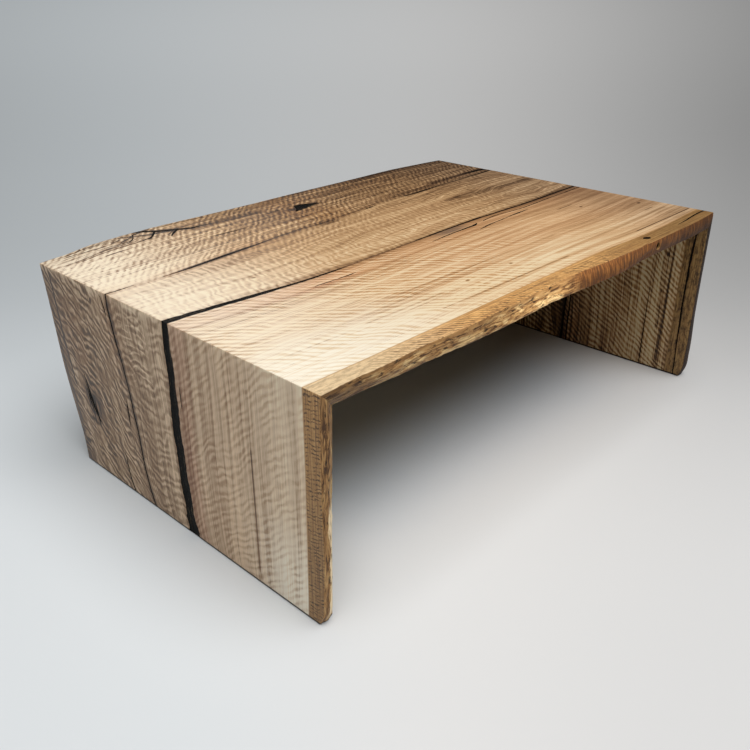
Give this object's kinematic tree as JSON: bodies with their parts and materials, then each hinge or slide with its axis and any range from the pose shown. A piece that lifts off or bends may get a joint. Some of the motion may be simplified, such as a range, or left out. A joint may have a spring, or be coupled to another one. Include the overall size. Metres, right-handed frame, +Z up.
{
  "type": "live edge coffee table",
  "caption": "Low waterfall coffee table of one folded hardwood plank with live front and rear edges, mitred full-width legs and dark resin-filled veins.",
  "frame": {"origin": "on the floor, under the centre of the table's outer box", "axes": "+X along the grain of the top, from the wide-vein leg to the other; +Y from the front live edge to the rear one; +Z up"},
  "size_m": [1.2, 0.825, 0.4],
  "materials": {
    "slab_wood": "satin clear oil",
    "tenon_wood": "bare beech",
    "glide_felt": "pressed felt",
    "vein_resin": "polished black resin"
  },
  "bodies": {
    "root": {"top_slab": "slab_wood", "left_leg_slab": "slab_wood", "right_leg_slab": "slab_wood", "left_mitre_tenons": "tenon_wood", "right_mitre_tenons": "tenon_wood", "left_glide_strip": "glide_felt", "right_glide_strip": "glide_felt", "main_vein_resin_top": "vein_resin", "side_branch_resin_top": "vein_resin", "rear_vein_resin_top": "vein_resin", "bark_pocket_resin_top": "vein_resin", "short_check_resin_top": "vein_resin", "rear_pocket_resin_top": "vein_resin", "knot_resin_top": "vein_resin", "front_crack_resin_top": "vein_resin", "main_vein_resin_left_leg": "vein_resin", "rear_vein_resin_left_leg": "vein_resin", "short_vein_resin_left_leg": "vein_resin", "bark_void_resin_left_leg": "vein_resin", "main_vein_resin_right_leg": "vein_resin", "side_branch_resin_right_leg": "vein_resin", "rear_pocket_resin_right_leg": "vein_resin", "front_crack_resin_right_leg": "vein_resin", "inner_check_resin_right_leg": "vein_resin", "thin_crack_resin_right_leg": "vein_resin"}
  },
  "joints": []
}
